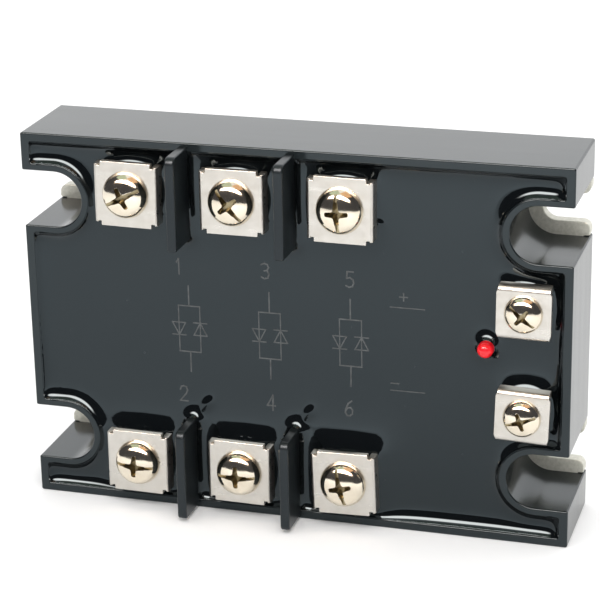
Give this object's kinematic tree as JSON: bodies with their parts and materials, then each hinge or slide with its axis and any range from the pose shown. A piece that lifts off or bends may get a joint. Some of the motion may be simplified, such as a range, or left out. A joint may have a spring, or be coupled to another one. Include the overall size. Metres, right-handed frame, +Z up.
{
  "type": "solid state relay",
  "caption": "Potted three-phase solid state relay on an aluminium base plate, with open fixing notches, screw clamp terminals, phase barriers and a red indicator lamp.",
  "frame": {"origin": "centre of the base plate's rear mounting face", "axes": "+X along the long side, towards the control terminals; +Y out of the rear mounting face; +Z up as the relay stands on its long side, towards the load terminals; the potted front faces -Y"},
  "size_m": [0.1046, 0.0278, 0.073],
  "materials": {
    "housing_plastic": "dark slate moulded plastic, semi-gloss",
    "base_aluminium": "brushed and slightly dulled aluminium",
    "potting_resin": "black epoxy potting, very glossy",
    "post_brass": "nickel-plated brass",
    "clamp_steel": "satin nickel-plated steel",
    "screw_nickel": "bright nickel-plated steel",
    "lens_red": "translucent red epoxy lens",
    "tinned_wire": "tinned wire",
    "board_laminate": "green solder mask on glass laminate",
    "alumina": "matt white alumina",
    "silicon": "passivated silicon chip",
    "copper": "bare copper",
    "optocoupler_white": "white moulded package",
    "resistor_blue": "lacquered metal film resistor",
    "resistor_tan": "lacquered resistor",
    "capacitor_yellow": "boxed film capacitor",
    "component_black": "black moulded package"
  },
  "bodies": {
    "relay_body": {"housing": "housing_plastic", "base_plate": "base_aluminium", "potting_compound": "potting_resin", "terminal_post_u": "post_brass", "terminal_post_v": "post_brass", "terminal_post_w": "post_brass", "terminal_post_l1": "post_brass", "terminal_post_l2": "post_brass", "terminal_post_l3": "post_brass", "terminal_post_plus": "post_brass", "terminal_post_minus": "post_brass", "indicator_lens": "lens_red", "ceramic_substrate_u": "alumina", "ceramic_substrate_v": "alumina", "ceramic_substrate_w": "alumina", "thyristor_pair_u": "silicon", "thyristor_pair_v": "silicon", "thyristor_pair_w": "silicon", "busbar_u": "copper", "busbar_v": "copper", "busbar_w": "copper", "busbar_l1": "copper", "busbar_l2": "copper", "busbar_l3": "copper", "control_board": "board_laminate", "optocoupler_u": "optocoupler_white", "optocoupler_v": "optocoupler_white", "optocoupler_w": "optocoupler_white", "gate_wires": "copper", "gate_resistors": "resistor_blue", "snubber_resistors": "resistor_tan", "snubber_capacitors": "capacitor_yellow", "input_diode": "component_black", "input_resistor": "resistor_tan", "input_transistor": "component_black", "control_straps": "copper", "indicator_leads": "tinned_wire"},
    "clamp_u": {"clamp_plate_u": "clamp_steel"},
    "screw_u": {"terminal_screw_u": "screw_nickel"},
    "clamp_v": {"clamp_plate_v": "clamp_steel"},
    "screw_v": {"terminal_screw_v": "screw_nickel"},
    "clamp_w": {"clamp_plate_w": "clamp_steel"},
    "screw_w": {"terminal_screw_w": "screw_nickel"},
    "clamp_l1": {"clamp_plate_l1": "clamp_steel"},
    "screw_l1": {"terminal_screw_l1": "screw_nickel"},
    "clamp_l2": {"clamp_plate_l2": "clamp_steel"},
    "screw_l2": {"terminal_screw_l2": "screw_nickel"},
    "clamp_l3": {"clamp_plate_l3": "clamp_steel"},
    "screw_l3": {"terminal_screw_l3": "screw_nickel"},
    "clamp_plus": {"clamp_plate_plus": "clamp_steel"},
    "screw_plus": {"terminal_screw_plus": "screw_nickel"},
    "clamp_minus": {"clamp_plate_minus": "clamp_steel"},
    "screw_minus": {"terminal_screw_minus": "screw_nickel"}
  },
  "joints": [
    {"name": "clamp_u_lift", "type": "slide", "parent": "relay_body", "child": "clamp_u", "axis": [0, -1, 0], "range_m": [0, 0.0028]},
    {"name": "screw_u_turn", "type": "hinge", "parent": "clamp_u", "child": "screw_u", "pos_m": [-0.0304, -0.0234, 0.0268], "axis": [0, -1, 0], "range_deg": [0, 1440]},
    {"name": "clamp_v_lift", "type": "slide", "parent": "relay_body", "child": "clamp_v", "axis": [0, -1, 0], "range_m": [0, 0.0028]},
    {"name": "screw_v_turn", "type": "hinge", "parent": "clamp_v", "child": "screw_v", "pos_m": [-0.01, -0.0234, 0.0268], "axis": [0, -1, 0], "range_deg": [0, 1440]},
    {"name": "clamp_w_lift", "type": "slide", "parent": "relay_body", "child": "clamp_w", "axis": [0, -1, 0], "range_m": [0, 0.0028]},
    {"name": "screw_w_turn", "type": "hinge", "parent": "clamp_w", "child": "screw_w", "pos_m": [0.0104, -0.0234, 0.0268], "axis": [0, -1, 0], "range_deg": [0, 1440]},
    {"name": "clamp_l1_lift", "type": "slide", "parent": "relay_body", "child": "clamp_l1", "axis": [0, -1, 0], "range_m": [0, 0.0028]},
    {"name": "screw_l1_turn", "type": "hinge", "parent": "clamp_l1", "child": "screw_l1", "pos_m": [-0.0304, -0.0234, -0.0268], "axis": [0, -1, 0], "range_deg": [0, 1440]},
    {"name": "clamp_l2_lift", "type": "slide", "parent": "relay_body", "child": "clamp_l2", "axis": [0, -1, 0], "range_m": [0, 0.0028]},
    {"name": "screw_l2_turn", "type": "hinge", "parent": "clamp_l2", "child": "screw_l2", "pos_m": [-0.01, -0.0234, -0.0268], "axis": [0, -1, 0], "range_deg": [0, 1440]},
    {"name": "clamp_l3_lift", "type": "slide", "parent": "relay_body", "child": "clamp_l3", "axis": [0, -1, 0], "range_m": [0, 0.0028]},
    {"name": "screw_l3_turn", "type": "hinge", "parent": "clamp_l3", "child": "screw_l3", "pos_m": [0.0104, -0.0234, -0.0268], "axis": [0, -1, 0], "range_deg": [0, 1440]},
    {"name": "clamp_plus_lift", "type": "slide", "parent": "relay_body", "child": "clamp_plus", "axis": [0, -1, 0], "range_m": [0, 0.0024]},
    {"name": "screw_plus_turn", "type": "hinge", "parent": "clamp_plus", "child": "screw_plus", "pos_m": [0.044, -0.0234, 0.01], "axis": [0, -1, 0], "range_deg": [0, 1440]},
    {"name": "clamp_minus_lift", "type": "slide", "parent": "relay_body", "child": "clamp_minus", "axis": [0, -1, 0], "range_m": [0, 0.0024]},
    {"name": "screw_minus_turn", "type": "hinge", "parent": "clamp_minus", "child": "screw_minus", "pos_m": [0.044, -0.0234, -0.01], "axis": [0, -1, 0], "range_deg": [0, 1440]}
  ],
  "couplings": [
    {"joint": "screw_u_turn", "follows": "clamp_u_lift", "rad_per_m": 8976},
    {"joint": "screw_v_turn", "follows": "clamp_v_lift", "rad_per_m": 8976},
    {"joint": "screw_w_turn", "follows": "clamp_w_lift", "rad_per_m": 8976},
    {"joint": "screw_l1_turn", "follows": "clamp_l1_lift", "rad_per_m": 8976},
    {"joint": "screw_l2_turn", "follows": "clamp_l2_lift", "rad_per_m": 8976},
    {"joint": "screw_l3_turn", "follows": "clamp_l3_lift", "rad_per_m": 8976},
    {"joint": "screw_plus_turn", "follows": "clamp_plus_lift", "rad_per_m": 10472},
    {"joint": "screw_minus_turn", "follows": "clamp_minus_lift", "rad_per_m": 10472}
  ]
}
